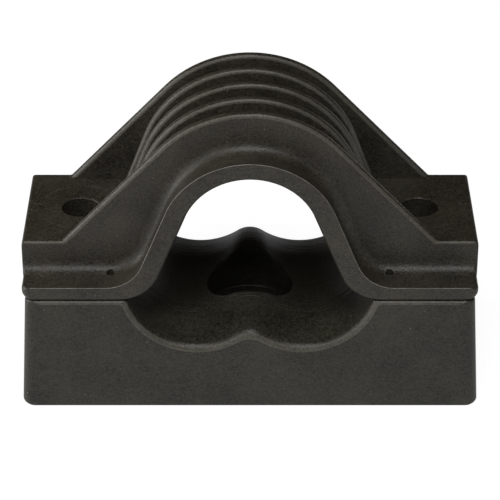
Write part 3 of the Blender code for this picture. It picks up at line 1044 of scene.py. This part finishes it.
def light_table(rgb, glow):
    """Opal acrylic lit from below: it glows evenly, drowns shadows, and stays a touch cloudy.

    It looks white and gives the piece less light than that, as much as glow says.
    """
    material, tree, shader, place = start_material("opal_acrylic_light_table")
    cloudy = 0.98
    bounce = 0.23
    cloud = add_node(tree, "ShaderNodeTexNoise", {"Scale": 1 / (60 * MM)}, {"Vector": place})
    dimmed = [cloudy * part for part in rgb]
    glowing = add_node(
        tree, "ShaderNodeMix", {"data_type": "RGBA", 6: opaque(dimmed), 7: opaque(rgb)}, {0: cloud}
    )
    tree.links.new(glowing.outputs[2], shader.inputs["Emission Color"])
    seen = add_node(tree, "ShaderNodeLightPath").outputs["Is Camera Ray"]
    strength = add_node(tree, "ShaderNodeMapRange", {3: glow, 4: 1.0}, {0: seen})
    tree.links.new(strength.outputs[0], shader.inputs["Emission Strength"])
    shader.inputs["Base Color"].default_value = opaque([bounce * part for part in rgb])
    shader.inputs["Roughness"].default_value = 0.9
    return material


class CLEAT_OT_stage(bpy.types.Operator):
    """Sets the floor, the soft lamps and the camera"""

    bl_idname = "cleat.stage"
    bl_label = "Studio"

    def execute(self, context):
        studio = context.scene.cleat_studio
        scene = context.scene
        bm = bmesh.new()
        bmesh.ops.create_grid(bm, x_segments=1, y_segments=1, size=studio.floor_size / 2)
        floor = add_object("floor", bm)
        # Just under the foot, so that the two faces never lie in one plane.
        floor.location.z = -0.2 * MM
        floor.data.materials.append(light_table(studio.floor, studio.glow))

        # A room that looks white all round and lights the piece only dimly.
        world = bpy.data.worlds.new("studio_white")
        world.use_nodes = True
        tree = world.node_tree
        backdrop = tree.nodes["Background"]
        backdrop.inputs["Color"].default_value = (1.0, 1.0, 1.0, 1.0)
        seen = add_node(tree, "ShaderNodeLightPath").outputs["Is Camera Ray"]
        strength = add_node(tree, "ShaderNodeMapRange", {3: studio.surround, 4: 1.0}, {0: seen})
        tree.links.new(strength.outputs[0], backdrop.inputs["Strength"])
        scene.world = world

        aim = (0.0, 0.0, studio.aim)
        add_lamp("left_lamp", (-1.2, 0.0, 0.4), aim, (0.8, 0.8), studio.left)
        add_lamp("front_left_lamp", (-0.8, -0.9, 0.6), aim, (0.6, 0.6), studio.front_left)
        add_lamp("front_top_lamp", (0.0, -0.6, 1.1), aim, (0.5, 0.5), studio.front_top)
        add_lamp("front_right_lamp", (0.8, -0.9, 0.6), aim, (0.6, 0.6), studio.front_right)
        add_lamp("top_lamp", (0.0, 0.0, 1.2), aim, (0.9, 0.9), studio.top)
        add_lamp("back_card", (0.0, 1.0, 0.62), aim, (2.4, 0.34), studio.back, studio.warm)

        camera = bpy.data.cameras.new("studio_camera")
        camera.lens = studio.lens
        camera.sensor_width = 36.0
        obj = bpy.data.objects.new("studio_camera", camera)
        away = Vector((0.0, -math.cos(studio.pitch), math.sin(studio.pitch))) * studio.distance
        obj.location = Vector(aim) + away
        obj.rotation_euler = (QUARTER - studio.pitch, 0.0, 0.0)
        scene.collection.objects.link(obj)
        scene.camera = obj
        scene.view_settings.view_transform = "Standard"
        return {"FINISHED"}


# ---------------------------------------------------------------- add-on


class CLEAT_PT_panel(bpy.types.Panel):
    """Lists the cleat's pieces and their settings"""

    bl_idname = "CLEAT_PT_panel"
    bl_label = "Trefoil Cable Cleat"
    bl_space_type = "VIEW_3D"
    bl_region_type = "UI"
    bl_category = "Cleat"

    def draw(self, context):
        layout = self.layout
        for operator in OPERATORS:
            layout.operator(operator.bl_idname)
        for name in SETTINGS:
            box = layout.box()
            box.label(text=name.replace("_", " ").capitalize())
            group = getattr(context.scene, name)
            for key in group.bl_rna.properties.keys():
                if key not in ("rna_type", "name"):
                    box.prop(group, key)


SETTINGS = {
    "cleat_fixing": CleatFixingSettings,
    "cleat_base": CleatBaseSettings,
    "cleat_cover": CleatCoverSettings,
    "cleat_finish": CleatFinishSettings,
    "cleat_studio": CleatStudioSettings,
}
OPERATORS = (CLEAT_OT_base, CLEAT_OT_cover, CLEAT_OT_stage)


def register():
    for cls in (*SETTINGS.values(), *OPERATORS, CLEAT_PT_panel):
        bpy.utils.register_class(cls)
    for name, cls in SETTINGS.items():
        setattr(bpy.types.Scene, name, PointerProperty(type=cls))


def unregister():
    for name in SETTINGS:
        delattr(bpy.types.Scene, name)
    for cls in (CLEAT_PT_panel, *OPERATORS, *SETTINGS.values()):
        bpy.utils.unregister_class(cls)


def main():
    register()
    bpy.ops.cleat.base()
    bpy.ops.cleat.cover()
    bpy.ops.cleat.stage()


if __name__ == "__main__":
    main()
